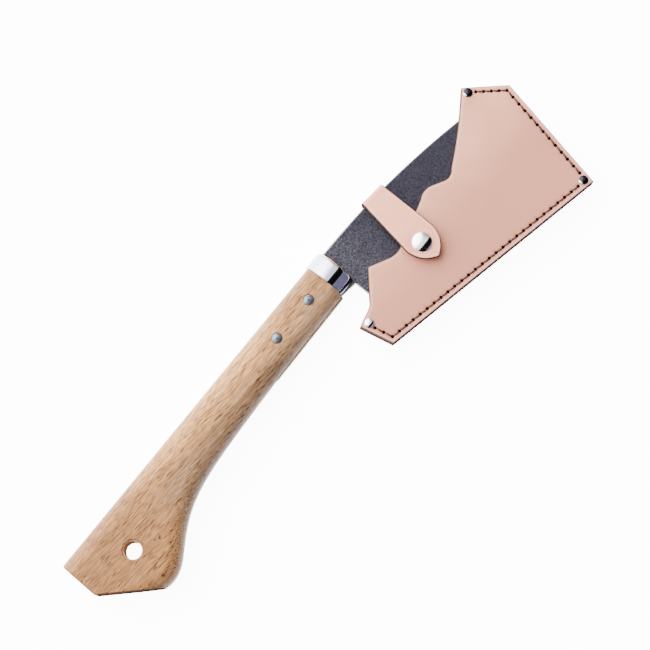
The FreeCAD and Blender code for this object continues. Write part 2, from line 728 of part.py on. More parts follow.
def build_thread(name, route):
    """Sewing thread: a run on each face, joined through the leather at both ends."""
    runs = []
    for face, level in (("high", "panel_high"), ("low", "-panel_high - thread_height")):
        line = doc.addObject("Sketcher::SketchObject", f"thread_{name}_{face}_line")
        places = [Vector(size(f"{point}_x"), size(f"{point}_y"), 0) for point in route]
        for index, (start, end) in enumerate(zip(places, places[1:])):
            line.addGeometry(Part.LineSegment(start, end), False)
            hold(line, index, 1, *at(route[index]))
            if index:
                line.addConstraint(Sketcher.Constraint("Coincident", index - 1, 2, index, 1))
        hold(line, len(places) - 2, 2, *at(route[-1]))
        bind(line, "Placement.Base.z", level)
        band = add("Part::Offset2D", f"thread_{name}_{face}_band", Value="thread_width / 2")
        band.Source = line
        band.Join = "Intersection"
        band.Fill = True
        run = add("Part::Extrusion", f"thread_{name}_{face}_run", LengthFwd="thread_height")
        run.Base = band
        run.DirMode = "Custom"
        run.Dir = Vector(0, 0, 1)
        runs.append(run)
    for end in (route[0], route[-1]):
        leg = add("Part::Cylinder", f"leg_{end}", Radius="thread_width / 2",
                  Height="(panel_high + thread_height) * 2")
        place(leg, f"{end}_x", f"{end}_y", "-panel_high - thread_height")
        runs.append(leg)
    thread = doc.addObject("Part::MultiFuse", f"seam_thread_{name}")
    thread.Shapes = runs
    thread.Refine = True
    finish(thread, f"seam_thread_{name}")


def build_rivet(name):
    """Two-piece corner rivet: a domed cap with a pin, pressed into the hollow post behind it."""
    cap = new_body(f"rivet_cap_{name}")
    revolve(cap, f"rivet_cap_profile_{name}", [
        ("0", "0"), ("rivet_pin_radius", "0"), ("rivet_pin_radius", "panel_high"),
        ("rivet_head_radius", "panel_high"),
        ("rivet_head_radius", "panel_high + rivet_rim", "rivet_dome_radius"),
        ("crown", "panel_high + rivet_dome"), ("0", "panel_high + rivet_dome"),
    ])
    place(cap, f"rivet_{name}_x", f"rivet_{name}_y")
    post = new_body(f"rivet_post_{name}")
    bore = "rivet_pin_radius + fit_gap"
    revolve(post, f"rivet_post_profile_{name}", [
        ("0", "-panel_high - rivet_rim"), ("rivet_head_radius - rivet_foot_edge", "-panel_high - rivet_rim"),
        ("rivet_head_radius", "-panel_high - rivet_rim * 0.3"), ("rivet_head_radius", "-panel_high"),
        ("rivet_shank_radius", "-panel_high"), ("rivet_shank_radius", "panel_high - fit_gap"),
        (bore, "panel_high - fit_gap"), (bore, "-fit_gap"), ("0", "-fit_gap"),
    ])
    place(post, f"rivet_{name}_x", f"rivet_{name}_y")


# ---------------------------------------------------------------- strap and snap

def strap_frame():
    """Placement of the strap's own frame: on the spine, x along it and y out of the blade."""
    return Placement(Vector(size("strap_x"), size("strap_y"), 0),
                     Rotation(Vector(0, 0, 1), size("strap_tilt")))


def snap_centre():
    return strap_frame().multVec(Vector(size("snap_x"), size("snap_y"), 0))


def build_strap_bend():
    """Wall of the strap round the spine, with a full round at each fold axis."""
    body = new_body("strap_bend")
    side = attach(body, "bend_side", "YZ_Plane")
    draw(side, [
        ("fold_y + leather / 2", "fold_low_z"),
        ("fold_y + leather / 2", "fold_high_z", "leather / 2 * 1.001"),
        ("fold_y - leather / 2", "fold_high_z"),
        ("fold_y - leather / 2", "fold_low_z", "leather / 2 * 1.001"),
    ])
    pad(body, side, "strap_half * 2", midplane=True)
    body.Placement = strap_frame()


def build_strap_flap():
    """Flap that climbs from the fold to the snap, lies level there and ends in a point."""
    body = new_body("strap_flap")
    side = attach(body, "flap_side", "YZ_Plane")
    start = "fold_y - fold_clear"
    draw(side, [
        (start, "fold_high_z - leather / 2"), (start, "fold_high_z + leather / 2"),
        ("strap_level_y", "flap_high"), ("strap_tip_y", "flap_high"),
        ("strap_tip_y", "flap_low"), ("strap_level_y", "flap_low"),
    ])
    pad(body, side, "strap_wide_rear * 2", midplane=True)
    trim = attach(body, "flap_outline")
    draw(trim, [
        ("strap_half", "fold_y"), ("-strap_half", "fold_y"),
        ("-strap_wide_rear", "strap_wide_y", "strap_tip_radius"),
        ("0", "strap_tip_y", "strap_tip_radius"), ("strap_wide", "strap_wide_y"),
    ])
    draw(trim, [
        ("strap_wide_rear * 2", "10"), ("-strap_wide_rear * 2", "10"),
        ("-strap_wide_rear * 2", "strap_tip_y - 10"), ("strap_wide_rear * 2", "strap_tip_y - 10"),
    ])
    pocket_through(body, trim)
    hole = attach(body, "cap_hole")
    circle(hole, "snap_x", "snap_y", "cap_shank + fit_gap")
    pocket_through(body, hole)
    body.Placement = strap_frame()


def build_snap():
    """Ring snap: cap, socket and spring on the flap, stud and post on the front panel."""
    cap = new_body("snap_cap")
    revolve(cap, "snap_cap_profile", [
        ("0", "flap_low - socket_plate"), ("cap_shank", "flap_low - socket_plate"),
        ("cap_shank", "flap_high"), ("cap_radius", "flap_high"),
        ("cap_radius", "flap_high + cap_rim", "cap_dome_radius"),
        ("crown", "flap_high + cap_dome"), ("0", "flap_high + cap_dome"),
    ])
    socket = new_body("snap_socket")
    revolve(socket, "snap_socket_profile", [
        ("cap_shank + fit_gap", "flap_low - socket_plate"), ("cap_shank + fit_gap", "flap_low"),
        ("socket_radius", "flap_low"), ("socket_radius", "panel_high + socket_lift"),
        ("socket_mouth", "panel_high + socket_lift"), ("socket_mouth", "flap_low - groove_low"),
        ("spring_seat", "flap_low - groove_low"), ("spring_seat", "flap_low - groove_top"),
        ("socket_mouth", "flap_low - groove_top"), ("socket_mouth", "flap_low - socket_plate"),
    ])
    spring = new_body("snap_spring")
    wire = attach(spring, "spring_section", "XZ_Plane")
    circle(wire, "spring_ring", "flap_low - (groove_low + groove_top) / 2", "spring_wire")
    ring = spring.newObject("PartDesign::Revolution", "spring_turned")
    ring.Profile = wire
    ring.ReferenceAxis = (wire, ["V_Axis"])
    bind(ring, "Angle", "spring_turn")
    stud = new_body("snap_stud")
    revolve(stud, "snap_stud_profile", [
        ("stud_bore", "panel_high"), ("stud_flange", "panel_high"),
        ("stud_flange", "panel_high + stud_sheet"), ("stud_neck", "panel_high + stud_root"),
        ("stud_neck", "panel_high + stud_waist"), ("stud_head", "panel_high + stud_widest"),
        ("stud_head - stud_sheet", "panel_high + stud_top"), ("stud_bore", "panel_high + stud_top"),
    ])
    post = new_body("snap_post")
    revolve(post, "snap_post_profile", [
        ("post_bore", "panel_low"), ("post_flange", "panel_low"),
        ("post_flange", "panel_low + post_sheet"), ("post_shank", "panel_low + post_sheet"),
        ("post_shank", "panel_high + stud_top - 0.1"), ("post_bore", "panel_high + stud_top - 0.1"),
    ])
    for body in (cap, socket, spring, stud, post):
        body.Placement = Placement(snap_centre(), Rotation())


def check_document():
    """Stop on a failed object or a bad sub-part."""
    for item in doc.Objects:
        if "Invalid" in item.State or "Error" in item.State:
            raise RuntimeError(f"{item.Name} failed: {item.State}")
    for item in subparts:
        shape = item.Shape
        if shape.isNull() or not shape.isValid():
            raise RuntimeError(f"{item.Label} has a bad shape")


build_blade()
build_handle()
build_tang_key()
build_ferrule()
build_handle_pin("front")
build_handle_pin("rear")
build_front_panel()
build_back_panel()
build_welt()
for thread_name, thread_route in THREADS.items():
    build_thread(thread_name, thread_route)
for rivet_name in RIVETS:
    build_rivet(rivet_name)
build_strap_bend()
build_strap_flap()
build_snap()
doc.recompute()
check_document()
os.makedirs("parts", exist_ok=True)
for item in subparts:
    item.Shape.exportStep(f"parts/{item.Label}.step")
    print(item.Label, len(item.Shape.Solids), round(item.Shape.Volume, 1))
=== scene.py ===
"""Looks of a carving hatchet in its leather sheath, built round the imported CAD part.

The row frame is in metres. Sizes written here in millimetres are turned into metres with MM.
"""

import math

import bpy
import numpy as np
from mathutils import Matrix, Vector
from mathutils.geometry import delaunay_2d_cdt


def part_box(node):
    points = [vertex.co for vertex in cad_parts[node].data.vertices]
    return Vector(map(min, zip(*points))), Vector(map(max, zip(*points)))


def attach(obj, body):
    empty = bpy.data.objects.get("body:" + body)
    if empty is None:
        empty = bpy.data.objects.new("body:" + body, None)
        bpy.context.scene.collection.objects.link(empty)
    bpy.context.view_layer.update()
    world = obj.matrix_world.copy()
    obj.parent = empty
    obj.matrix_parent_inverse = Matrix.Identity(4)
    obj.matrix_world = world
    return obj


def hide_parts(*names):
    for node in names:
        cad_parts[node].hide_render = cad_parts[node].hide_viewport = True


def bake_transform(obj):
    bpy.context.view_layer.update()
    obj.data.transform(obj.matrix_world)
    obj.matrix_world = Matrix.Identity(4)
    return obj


MM = 0.001
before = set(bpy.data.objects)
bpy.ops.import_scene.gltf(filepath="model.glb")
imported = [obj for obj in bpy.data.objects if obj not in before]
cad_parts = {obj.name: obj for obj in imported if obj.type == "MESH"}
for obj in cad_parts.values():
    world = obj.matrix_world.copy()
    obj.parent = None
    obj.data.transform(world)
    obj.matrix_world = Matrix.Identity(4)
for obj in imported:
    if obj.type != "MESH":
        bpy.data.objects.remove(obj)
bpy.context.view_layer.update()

# turn of the wood's fibres from the handle's X axis
FIBRE_TURN = math.radians(-4)

# sheath panels: their inner and outer levels, in mm
PANEL_LOW, PANEL_HIGH = 2.75, 4.95
THICK = PANEL_HIGH - PANEL_LOW

# strap, in mm: its frame stands on the spine, x along it and y out of the blade
STRAP_PLACE = Vector((246.7, 23.3))
STRAP_TURN = math.radians(-5.2)
FOLD_Y = 1.35
FOLD_LEVEL = 3.9
FOLD_ROUND = 1.5
STRAP_HALF, STRAP_WIDE, STRAP_WIDE_REAR = 8.4, 10.4, 11.3
STRAP_WIDE_Y, STRAP_TIP_Y, STRAP_TIP_ROUND = -34.0, -52.2, 17.0
SNAP_LEVEL = 9.05
STRAP_MARGIN = 0.5
# the tip's two round sides stop above the point, where a short blunt end joins them
TIP_POINTS, TIP_CLEAR = 24, 0.35
BLUNT_HALF, BLUNT_RISE = 0.75, 0.12

# strap, along its middle surface: where it leaves the back panel, its bend and half of its wall
ROOT_Y = FOLD_Y - FOLD_ROUND
BEND_LENGTH = FOLD_ROUND * math.pi / 2
WALL_LENGTH = FOLD_LEVEL - FOLD_ROUND
SIDE_LENGTH = BEND_LENGTH + WALL_LENGTH
JOINT_MARGIN = 0.01

# seam: corners of its two rows of holes, in mm
SEAM_FRONT = [(333.2, 16.3), (345.5, 2.6), (333.2, -61.3)]
SEAM_EDGE = [(326.4, -65.5), (188.8, -37.1), (186.4, -26.0)]
STITCH = 5.25
HOLE_RADIUS = 1.12

# thread, in mm: level at a stitch's ends and its rise, radius there and its swell, sideways slant
THREAD_LEVEL, THREAD_RISE = PANEL_HIGH - 0.40, 0.46
THREAD_RADIUS, THREAD_SWELL, THREAD_SLANT = 0.45, 0.17, -0.45
THREAD_FLATNESS = 0.75
# share of the way between two holes where a stitch starts, and the share that it covers
STITCH_START, STITCH_REACH = 0.14, 0.72
STITCH_SECTIONS, STITCH_SIDES = 9, 8

# leather's mesh, in mm: sides of the outline, rings within it, rows of points beside the seam
OUTLINE_STEP = 0.9
RINGS_BEFORE_EDGE, RINGS_AFTER_EDGE = (0.14, 0.34), (0.8, 1.1)
SEAM_STEP = 0.7
SEAM_ROWS = (-1.2, -0.6, -0.25, 0.25, 0.6, 1.2)
CLEAR_OF_RINGS, CLEAR_OF_OUTLINE = 1.0, 1.15
GRID_CLEARANCE = 0.45
HOLE_POINTS, HOLE_INNER = 10, 0.55

# leather's relief, in mm
SEAM_REACH, SEAM_DEPTH = 0.62, 0.16
HOLE_DEPTH = 0.5
UNDERSIDE_ROUND = 0.8
WAVE_FADE = 6
# painted highlight: a lighter line this far inside the cut edge, and its reach
RIM_HIGHLIGHT_PLACE, RIM_HIGHLIGHT_REACH = 1.0, 0.35
EDGE_STRENGTH = 1.55

# camera, floor, backdrop and light, in metres; the lens is in mm
TOOL_ANGLE = math.radians(50.9)
CAMERA_TILT = math.radians(9.3)
CAMERA_DISTANCE = 1.276
CAMERA_AIM = Vector((0.1701, -0.0020, 0.0))
FOCAL_LENGTH, SENSOR_WIDTH = 121.85, 36.0
CLIP_NEAR, CLIP_FAR = 0.05, 50.0
FLOOR_LEVEL, FLOOR_REACH, FLOOR_GLOW = -0.01121, 4.0, 11.0
DOME_REACH, DOME_ANGLE, DOME_GLOW = 6.0, math.radians(100), 14.0
DOME_SIDES, DOME_ROWS = 32, 8
KEY_DIRECTION = Vector((-0.12, 0.86, 0.50))
GAP_START = (math.radians(9), math.radians(12))
GAP_END = (math.radians(38), math.radians(42))
WHITE = (1.0, 1.0, 1.0, 1.0)


# ---------------------------------------------------------------- shader helpers

def new_material(name):
    """An empty node material, and its node tree."""
    material = bpy.data.materials.new(name)
    material.use_nodes = True
    material.node_tree.nodes.clear()
    return material, material.node_tree


def put(tree, kind, inputs=None, **settings):
    """A shader node; each input is a value or the socket that feeds it."""
    node = tree.nodes.new(kind)
    for name, value in settings.items():
        setattr(node, name, value)
    for key, value in (inputs or {}).items():
        if isinstance(value, bpy.types.NodeSocket):
            tree.links.new(value, node.inputs[key])
        else:
            node.inputs[key].default_value = value
    return node


def compute(tree, operation, *values):
    return put(tree, "ShaderNodeMath", dict(enumerate(values)), operation=operation).outputs[0]


def times(tree, first, second):
    return compute(tree, "MULTIPLY", first, second)


def plus(tree, first, second):
    return compute(tree, "ADD", first, second)


def span(tree, value, low, high, to_low=0.0, to_high=1.0):
    """Smooth step of a value from low..high to to_low..to_high."""
    node = put(tree, "ShaderNodeMapRange", {
        "Value": value, "From Min": low, "From Max": high, "To Min": to_low, "To Max": to_high},
        interpolation_type="SMOOTHSTEP")
    return node.outputs["Result"]


def mix(tree, factor, first, second, blend="MIX"):
    return put(tree, "ShaderNodeMix", {0: factor, 6: first, 7: second},
               data_type="RGBA", blend_type=blend).outputs[2]


def noise(tree, vector, stretch, detail=3.0, rough=0.55, distort=0.0):
    """Noise whose cells measure 1/stretch metres along each axis."""
    mapped = put(tree, "ShaderNodeMapping", {"Vector": vector, "Scale": stretch}).outputs[0]
    return put(tree, "ShaderNodeTexNoise", {
        "Vector": mapped, "Scale": 1.0, "Detail": detail, "Roughness": rough,
        "Distortion": distort}).outputs["Fac"]


def position(tree):
    """Place in the row frame, as a vector, and its X and its Y."""
    vector = put(tree, "ShaderNodeTexCoord").outputs["Object"]
    parts = put(tree, "ShaderNodeSeparateXYZ", {0: vector}).outputs
    return vector, parts[0], parts[1]


def facing(tree):
    """How far the surface faces along X, Y and Z."""
    normal = put(tree, "ShaderNodeTexCoord").outputs["Normal"]
    return put(tree, "ShaderNodeSeparateXYZ", {0: normal}).outputs


def on_plane(tree, x, y):
    """The place with its Z set to 0, to measure from an axis along Z."""
    return put(tree, "ShaderNodeCombineXYZ", {0: x, 1: y}).outputs[0]


def apart(tree, vector, place):
    return put(tree, "ShaderNodeVectorMath", {0: vector, 1: place}, operation="DISTANCE").outputs["Value"]


def attribute(tree, name):
    return put(tree, "ShaderNodeAttribute", attribute_name=name).outputs["Fac"]


def bump(tree, height, strength, distance):
    return put(tree, "ShaderNodeBump", {
        "Height": height, "Strength": strength, "Distance": distance}).outputs["Normal"]


def close(tree, inputs):
    """Principled surface with these inputs, as the material's output."""
    surface = put(tree, "ShaderNodeBsdfPrincipled", inputs)
    put(tree, "ShaderNodeOutputMaterial", {"Surface": surface.outputs[0]})


def colour(red, green, blue):
    return (red, green, blue, 1.0)


# ---------------------------------------------------------------- materials

def wood_material(name, light, dark, fleck, knots=()):
    """Beech: fine lengthwise lines, short dark flecks, a few small knots, sawn ends darkened as end grain and
    as painted shade, and painted shade and light on the grip and collar.
    """
    material, tree = new_material(name)
    vector, x, y = position(tree)
    turned_back = (0, 0, -FIBRE_TURN)
    fibres = put(tree, "ShaderNodeMapping", {"Vector": vector, "Rotation": turned_back}).outputs[0]
    broad = noise(tree, fibres, (9, 70, 90), 2.0, 0.5, 0.4)
    bands = noise(tree, fibres, (14, 900, 700), 3.0, 0.65)
    fine = noise(tree, fibres, (120, 2500, 2000), 1.0)
    tone = plus(tree, times(tree, broad, 0.14), times(tree, bands, 0.86))
    base = mix(tree, span(tree, tone, 0.30, 0.62), dark, light)
    base = mix(tree, span(tree, fine, 0.50, 0.60, 0.0, 0.80), base, dark)
    base = mix(tree, span(tree, x, 0.080, -0.005, 0.0, 0.45), base, dark)

    # painted shade and light: the grip's belly side is painted greyer and darker, its back side painted paler
    on_grip = times(tree, span(tree, x, 0.015, 0.050), span(tree, x, 0.165, 0.135))
    painted_belly_shade = times(tree, span(tree, y, 0.015, 0.004), on_grip)
    base = mix(tree, painted_belly_shade, base, colour(0.72, 0.86, 1.14), "MULTIPLY")
    painted_back_light = times(tree, span(tree, y, 0.010, 0.018), on_grip)
    base = mix(tree, painted_back_light, base, colour(1.42, 1.48, 1.45), "MULTIPLY")

    # flecks come in patches and are denser on the collar; the collar's belly side is painted greyer and
    # pinker, as painted shade
    dashes = noise(tree, fibres, (190, 3300, 1900), 0.0)
    patches = noise(tree, fibres, (40, 160, 160), 1.0)
    threshold = span(tree, patches, 0.35, 0.7, 0.640, 0.590)
    threshold = compute(tree, "SUBTRACT", threshold, span(tree, x, 0.130, 0.160, 0.0, 0.028))
    flecks = span(tree, compute(tree, "SUBTRACT", dashes, threshold), 0.0, 0.03)
    base = mix(tree, times(tree, flecks, 0.92), base, fleck)
    collar_belly_shade = times(tree, span(tree, x, 0.135, 0.165), span(tree, y, 0.018, 0.004, 0.0, 0.30))
    base = mix(tree, collar_belly_shade, base, colour(0.42, 0.29, 0.18))

    for place, reach in knots:
        away = apart(tree, vector, [c * MM for c in place])
        wave = noise(tree, vector, (1100, 650, 700), 2.0)
        shape = times(tree, span(tree, away, 0.0, reach * MM, 1.0, 0.0), wave)
        base = mix(tree, span(tree, shape, 0.34, 0.42, 0.0, 0.9), base, fleck)

    # sawn butt: its faces towards -X are darker as end grain and painted darker still as shade; and the wall
    # of the hanging hole, which stands on the origin
    end_grain = span(tree, times(tree, facing(tree)[0], -1.0), 0.16, 0.36)
    end_grain_and_shade = mix(tree, fine, colour(0.085, 0.042, 0.025), colour(0.150, 0.080, 0.048))
    base = mix(tree, times(tree, end_grain, 0.90), base, end_grain_and_shade)
    drilled = span(tree, apart(tree, on_plane(tree, x, y), (0.0, 0.0, 0.0)), 0.0060, 0.0053)
    bored = mix(tree, fine, colour(0.50, 0.28, 0.15), colour(0.64, 0.39, 0.23))
    base = mix(tree, times(tree, drilled, 0.90), base, bored)

    plain = compute(tree, "SUBTRACT", 1.0, compute(tree, "MAXIMUM", end_grain, drilled))
    height = compute(tree, "SUBTRACT", times(tree, fine, 0.4), flecks)
    close(tree, {
        "Base Color": base,
        "Roughness": span(tree, bands, 0.3, 0.7, 0.46, 0.56),
        "Specular IOR Level": times(tree, plain, 0.12),
        "Normal": bump(tree, height, 0.30, 0.00010),
    })
    return material


def leather_material(name, light, deep, painted_shade, burnt_dark, burnt_light):
    """Vegetable tanned leather, painted darker and browner towards -Y as painted shade, by a given share,
    with burnt edges.

    Point attributes of leather_plate mark the edge, its rim, the seam and the holes; the rim carries a
    painted highlight, and the darker seam groove and the black holes are painted shade.
    """
    material, tree = new_material(name)
    vector, _, y = position(tree)
    clouds = noise(tree, vector, (28, 28, 28), 4.0, 0.6, 0.3)
    grain = noise(tree, vector, (900, 900, 900), 3.0, 0.6)
    pores = put(tree, "ShaderNodeTexVoronoi", {"Vector": vector, "Scale": 1500.0},
                feature="DISTANCE_TO_EDGE").outputs["Distance"]
    base = mix(tree, span(tree, clouds, 0.3, 0.7), deep, light)
    # painted shade: darker and browner towards -Y
    base = mix(tree, span(tree, y, 0.004, -0.032, 0.0, painted_shade), base, colour(0.405, 0.158, 0.103))
    base = mix(tree, span(tree, grain, 0.35, 0.75, 0.0, 0.14), base, deep)

    # the cut edge is burnished dark, and painted darker where it faces the light, towards +Y and +X, as
    # painted shade
    streaks = noise(tree, vector, (500, 500, 1600), 3.0)
    burnt = mix(tree, span(tree, streaks, 0.3, 0.7), burnt_dark, burnt_light)
    faces = facing(tree)
    outward = plus(tree, faces[1], times(tree, faces[0], 0.6))
    burnt = mix(tree, span(tree, outward, -0.4, 0.3, 0.0, 0.75), burnt, colour(0.020, 0.010, 0.009))

    edge = attribute(tree, "edge")
    hole = span(tree, attribute(tree, "hole"), 0.25, 0.60)
    # painted shade in the seam groove
    base = mix(tree, times(tree, attribute(tree, "seam"), 0.30), base, colour(0.33, 0.13, 0.075))
    # painted highlight: a lighter line just inside the cut edge
    base = mix(tree, times(tree, attribute(tree, "rim"), 0.45), base, colour(0.80, 0.46, 0.34))
    base = mix(tree, edge, base, burnt)
    # painted shade: the stitch holes are painted near black
    base = mix(tree, hole, base, colour(0.003, 0.0015, 0.0015))
    plain = compute(tree, "SUBTRACT", 1.0, compute(tree, "MAXIMUM", edge, hole))
    height = plus(tree, times(tree, pores, 1.5), times(tree, grain, 0.35))
    close(tree, {
        "Base Color": base,
        "Roughness": span(tree, clouds, 0.3, 0.7, 0.52, 0.44),
        "Specular IOR Level": times(tree, plain, 0.16),
        "Normal": bump(tree, height, 0.22, 0.00012),
    })
    return material


def blade_material():
    """Dark forged plate with a fine crossed texture, worn brighter beside the ferrule, with a painted
    highlight on the bevels that face +Y.
    """
    material, tree = new_material("forged_plate")
    vector, x, _ = position(tree)
    along = noise(tree, vector, (800, 4800, 1500), 1.0, 0.5)
    across = noise(tree, vector, (4800, 800, 1500), 1.0, 0.5)
    weave = plus(tree, times(tree, along, 0.5), times(tree, across, 0.5))
    clouds = noise(tree, vector, (60, 60, 60), 2.0)
    base = mix(tree, span(tree, weave, 0.42, 0.58),
               colour(0.0030, 0.0025, 0.005), colour(0.021, 0.018, 0.030))
    base = mix(tree, span(tree, clouds, 0.35, 0.7, 0.0, 0.25), base, colour(0.010, 0.010, 0.014))
    wear_and_highlight = times(tree, span(tree, x, 0.200, 0.245, 1.0, 0.12), span(tree, weave, 0.44, 0.62))
    base = mix(tree, times(tree, wear_and_highlight, 0.75), base, colour(0.085, 0.083, 0.100))
    # painted highlight on the bevels facing +Y, beside the ferrule
    bevel_highlight = times(tree, span(tree, facing(tree)[1], 0.35, 0.6), span(tree, x, 0.200, 0.240, 1.0, 0.0))
    base = mix(tree, bevel_highlight, base, colour(0.30, 0.30, 0.32))
    close(tree, {
        "Base Color": base,
        "Metallic": 0.55,
        "Roughness": span(tree, weave, 0.35, 0.7, 0.60, 0.44),
        "Specular IOR Level": 0.25,
        "Normal": bump(tree, weave, 0.35, 0.00012),
    })
    return material


def steel_material(name, base, rough, mottle=0.25, scratch=0.12, marks=(), wear_and_highlight=None):
    """Plain metal with a mottled polish and fine scratches.

    marks are places of Z axes, in metres, each with a dark spot in its centre punch; a colour given as the
    last argument is a painted highlight on the rim's -X side.
    """
    material, tree = new_material(name)
    vector, x, y = position(tree)
    spots = noise(tree, vector, (650, 650, 650), 4.0, 0.6)
    scratches = noise(tree, vector, (350, 5200, 2600), 2.0)
    darker = colour(*[c * (1.0 - mottle) for c in base])
    tint = mix(tree, span(tree, spots, 0.35, 0.7), colour(*base), darker)
    for mark_x, mark_y in marks:
        away = apart(tree, on_plane(tree, x, y), (mark_x, mark_y, 0.0))
        tint = mix(tree, span(tree, away, 0.0004, 0.0007, 0.9, 0.0), tint, colour(0.02, 0.02, 0.025))
    if wear_and_highlight is not None:
        # painted highlight on the rim's -X side
        painted_highlight_rim = span(tree, times(tree, facing(tree)[0], -1.0), 0.33, 0.40)
        tint = mix(tree, painted_highlight_rim, tint, colour(*wear_and_highlight))
    close(tree, {
        "Base Color": tint,
        "Metallic": 1.0,
        "Roughness": span(tree, spots, 0.3, 0.75, rough, rough * 1.6),
        "Normal": bump(tree, scratches, scratch, 0.00004),
    })
    return material


def ferrule_material():
    """Mirror sleeve: painted reflection makes it darker and bluish towards the belly and greyer towards its
    back; brass line at its front lip; dark line at its rear rim, painted shade of the gap at the joint.
    """
    material, tree = new_material("polished_sleeve")
    vector, x, y = position(tree)
    stains = noise(tree, vector, (400, 400, 400), 4.0, 0.6)
    base = mix(tree, span(tree, stains, 0.50, 0.66, 0.0, 0.55),
               colour(0.50, 0.50, 0.59), colour(0.27, 0.27, 0.34))
    # painted reflection: darker and bluish towards the belly
    base = mix(tree, span(tree, y, 0.0042, 0.0032), base, colour(0.060, 0.058, 0.090))
    # painted reflection: greyer towards the back
    base = mix(tree, span(tree, y, 0.0205, 0.0245, 0.0, 0.65), base, colour(0.36, 0.37, 0.46))
    base = mix(tree, span(tree, x, 0.20015, 0.20045), base, colour(0.42, 0.20, 0.06))
    # painted shade: a dark line at the rear rim, for the gap at the joint with the wood
    base = mix(tree, span(tree, x, 0.18935, 0.18915), base, colour(0.03, 0.02, 0.02))
    close(tree, {
        "Base Color": base,
        "Metallic": 1.0,
        "Roughness": span(tree, stains, 0.3, 0.8, 0.03, 0.10),
    })
    return material


def thread_material():
    """Waxed thread: two strands twisted together."""
    material, tree = new_material("waxed_thread")
    vector = position(tree)[0]
    twist = put(tree, "ShaderNodeTexWave", {
        "Vector": vector, "Scale": 420.0, "Distortion": 1.0, "Detail": 2.0},
        wave_type="BANDS", bands_direction="DIAGONAL").outputs["Fac"]
    fibres = noise(tree, vector, (2500, 2500, 2500), 2.0)
    base = mix(tree, twist, colour(0.026, 0.008, 0.006), colour(0.066, 0.018, 0.011))
    base = mix(tree, span(tree, fibres, 0.4, 0.7, 0.0, 0.3), base, colour(0.12, 0.038, 0.021))
    close(tree, {
        "Base Color": base,
        "Roughness": 0.55,
        "Specular IOR Level": 0.25,
        "Normal": bump(tree, twist, 0.5, 0.0001),
    })
    return material


beech = wood_material(
    "beech", colour(0.430, 0.208, 0.078), colour(0.200, 0.087, 0.029), colour(0.036, 0.012, 0.004),
    knots=[((15.4, -7.4, 10.9), 3.0), ((0.1, -22.4, 10.0), 3.4), ((12.5, -6.0, 10.9), 2.2)])
beech_strip = wood_material(
    "beech_strip", colour(0.44, 0.245, 0.125), colour(0.36, 0.185, 0.088), colour(0.16, 0.07, 0.03))
leather = leather_material(
    "sheath_leather", colour(0.610, 0.270, 0.180), colour(0.520, 0.220, 0.143), 0.9,
    colour(0.090, 0.040, 0.033), colour(0.190, 0.094, 0.076))
strap_leather = leather_material(
    "strap_leather", colour(0.715, 0.303, 0.200), colour(0.610, 0.247, 0.159), 0.0,
    colour(0.034, 0.018, 0.016), colour(0.085, 0.046, 0.039))
plate = blade_material()
sleeve = ferrule_material()
pin_centres = [[(low + high) / 2 for low, high in zip(*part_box(node))][:2]
               for node in ("handle_pin_front", "handle_pin_rear")]
pin_steel = steel_material("pin_steel", (0.150, 0.155, 0.180), 0.34, 0.45, marks=pin_centres)
nickel = steel_material("nickel", (0.84, 0.84, 0.87), 0.06, 0.10, scratch=0.03)
# painted reflection: the top and toe rivet caps are painted near black, with a painted highlight on their
# rims' -X side
painted_reflection_nickel = steel_material("painted_reflection_nickel", (0.022, 0.022, 0.028), 0.12, 0.4, wear_and_highlight=(0.85, 0.85, 0.88))
spring_brass = steel_material("spring_brass", (0.42, 0.27, 0.10), 0.2, 0.2)
thread_look = thread_material()

NODE_LOOKS = {
    "blade": plate, "handle": beech, "tang_key": beech_strip, "ferrule": sleeve,
    "handle_pin_front": pin_steel, "handle_pin_rear": pin_steel,
    "snap_cap": nickel, "snap_socket": nickel, "snap_stud": nickel, "snap_post": nickel,
    "snap_spring": spring_brass,
    "rivet_cap_heel": nickel, "rivet_cap_toe": painted_reflection_nickel, "rivet_cap_top": painted_reflection_nickel,
    "rivet_post_heel": nickel, "rivet_post_toe": nickel, "rivet_post_top": nickel,
}
for node_name, look in NODE_LOOKS.items():
    node_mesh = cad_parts[node_name].data
    node_mesh.materials.clear()
    node_mesh.materials.append(look)


# ---------------------------------------------------------------- flat outlines, in mm

def boundary_edges(faces):
    """Directed edges that only one face uses."""
    sides = set()
    for face in faces:
        for start, end in zip(face, face[1:] + face[:1]):
            if (end, start) in sides:
                sides.remove((end, start))
            else:
                sides.add((start, end))
    return sides


def outline_at(node, level):
    """Longest closed edge of a CAD node's flat face at a level of Z, counter-clockwise."""
    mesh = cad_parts[node].data
    places = [tuple(round(c / MM, 4) for c in vertex.co) for vertex in mesh.vertices]
    faces = [[places[index] for index in polygon.vertices] for polygon in mesh.polygons]
    following = dict(boundary_edges(
        face for face in faces if all(abs(corner[2] - level) <= 1e-3 for corner in face)))
    loops = []
    while following:
        first, current = following.popitem()
        loop = [first]
        while current != first:
            loop.append(current)
            current = following.pop(current)
        loops.append(np.array([point[:2] for point in loop]))
    longest = max(loops, key=lambda loop: np.abs(np.diff(loop, axis=0)).sum())
    next_points = np.roll(longest, -1, axis=0)
    area = (longest[:, 0] * next_points[:, 1] - longest[:, 1] * next_points[:, 0]).sum()
    return longest if area > 0 else longest[::-1]


def subdivide(loop, step):
    """The loop with no side longer than step."""
    points = []
    for start, end in zip(loop, np.roll(loop, -1, axis=0)):
        count = max(1, math.ceil(np.linalg.norm(end - start) / step))
        points += [start + (end - start) * index / count for index in range(count)]
    return np.array(points)


